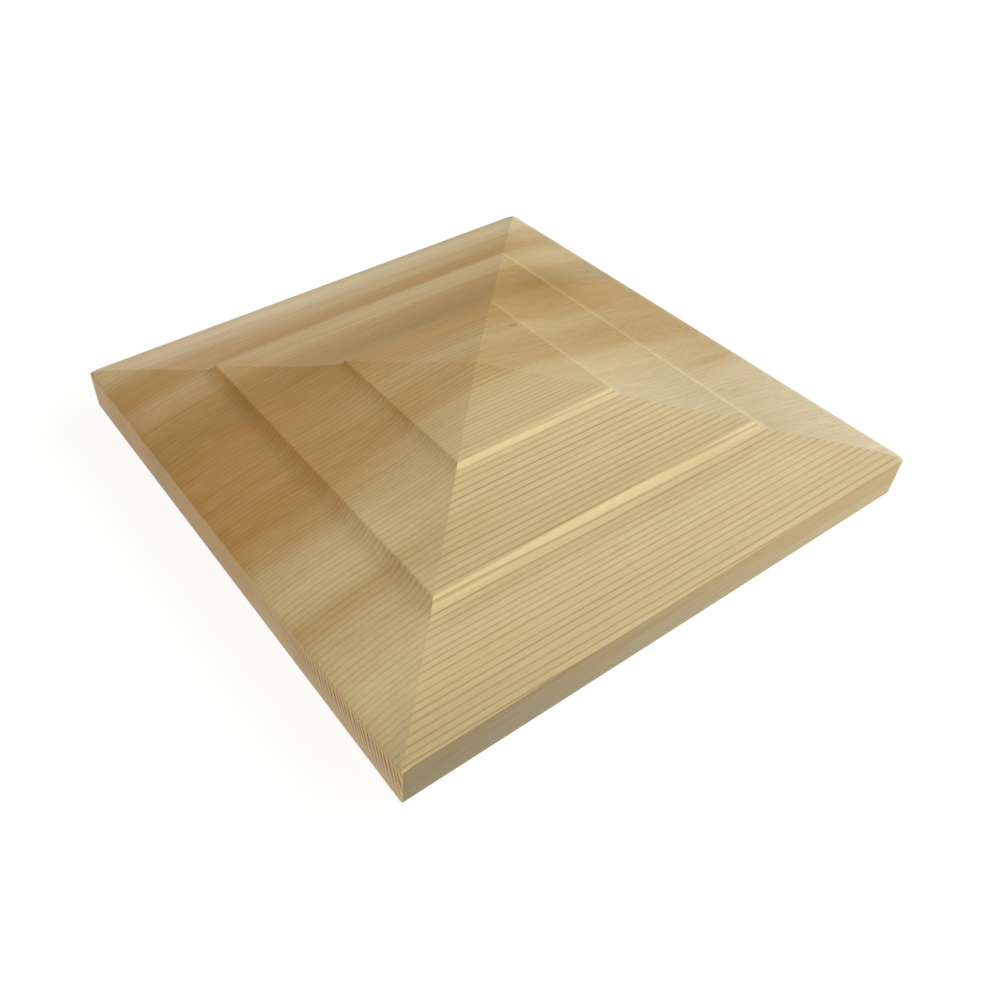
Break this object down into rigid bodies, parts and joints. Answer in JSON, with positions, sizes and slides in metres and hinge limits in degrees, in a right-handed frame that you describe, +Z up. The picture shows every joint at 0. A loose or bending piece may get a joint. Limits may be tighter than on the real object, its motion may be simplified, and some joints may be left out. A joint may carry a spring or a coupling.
{
  "type": "pyramid post cap",
  "caption": "Square softwood cap for a post top, with a plain edge and a moulded, stepped top that rises to a shallow pyramid.",
  "frame": {"origin": "centre of the flat underside, where the cap sits on the post", "axes": "+Z up from the underside to the peak, +X along the grain, +Y across the grain"},
  "size_m": [0.1396, 0.1396, 0.0254],
  "materials": {
    "softwood": "bare, planed and lightly sanded, straight close grain"
  },
  "bodies": {
    "root": {"post_cap": "softwood"}
  },
  "joints": []
}
